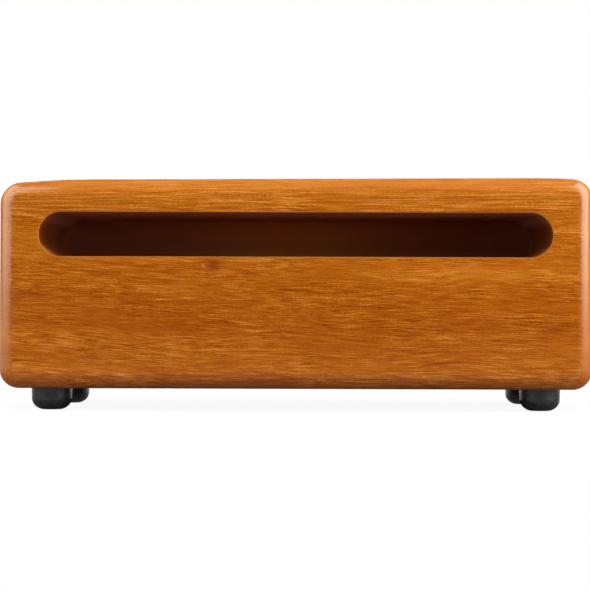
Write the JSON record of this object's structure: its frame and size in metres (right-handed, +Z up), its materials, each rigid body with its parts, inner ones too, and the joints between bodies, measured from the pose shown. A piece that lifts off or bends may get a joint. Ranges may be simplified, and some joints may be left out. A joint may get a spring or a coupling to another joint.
{
  "type": "woodblock",
  "caption": "Concert woodblock: a solid hardwood block with rounded edges and a long blind sound slot in its front face, standing on screwed-on rubber feet.",
  "frame": {"origin": "on the ground under the middle of the block", "axes": "+X along the block's length to the player's right, -Y out of the slotted front face, +Z up"},
  "size_m": [0.2286, 0.1016, 0.0902],
  "materials": {
    "hardwood": "satin oiled honey-brown hardwood with fine straight grain",
    "foot_rubber": "matte black moulded rubber",
    "washer_steel": "bright zinc plated",
    "screw_steel": "bright zinc plated"
  },
  "bodies": {
    "root": {"block": "hardwood", "foot_front_left": "foot_rubber", "washer_front_left": "washer_steel", "screw_front_left": "screw_steel", "foot_front_right": "foot_rubber", "washer_front_right": "washer_steel", "screw_front_right": "screw_steel", "foot_rear_left": "foot_rubber", "washer_rear_left": "washer_steel", "screw_rear_left": "screw_steel", "foot_rear_right": "foot_rubber", "washer_rear_right": "washer_steel", "screw_rear_right": "screw_steel"}
  },
  "joints": []
}
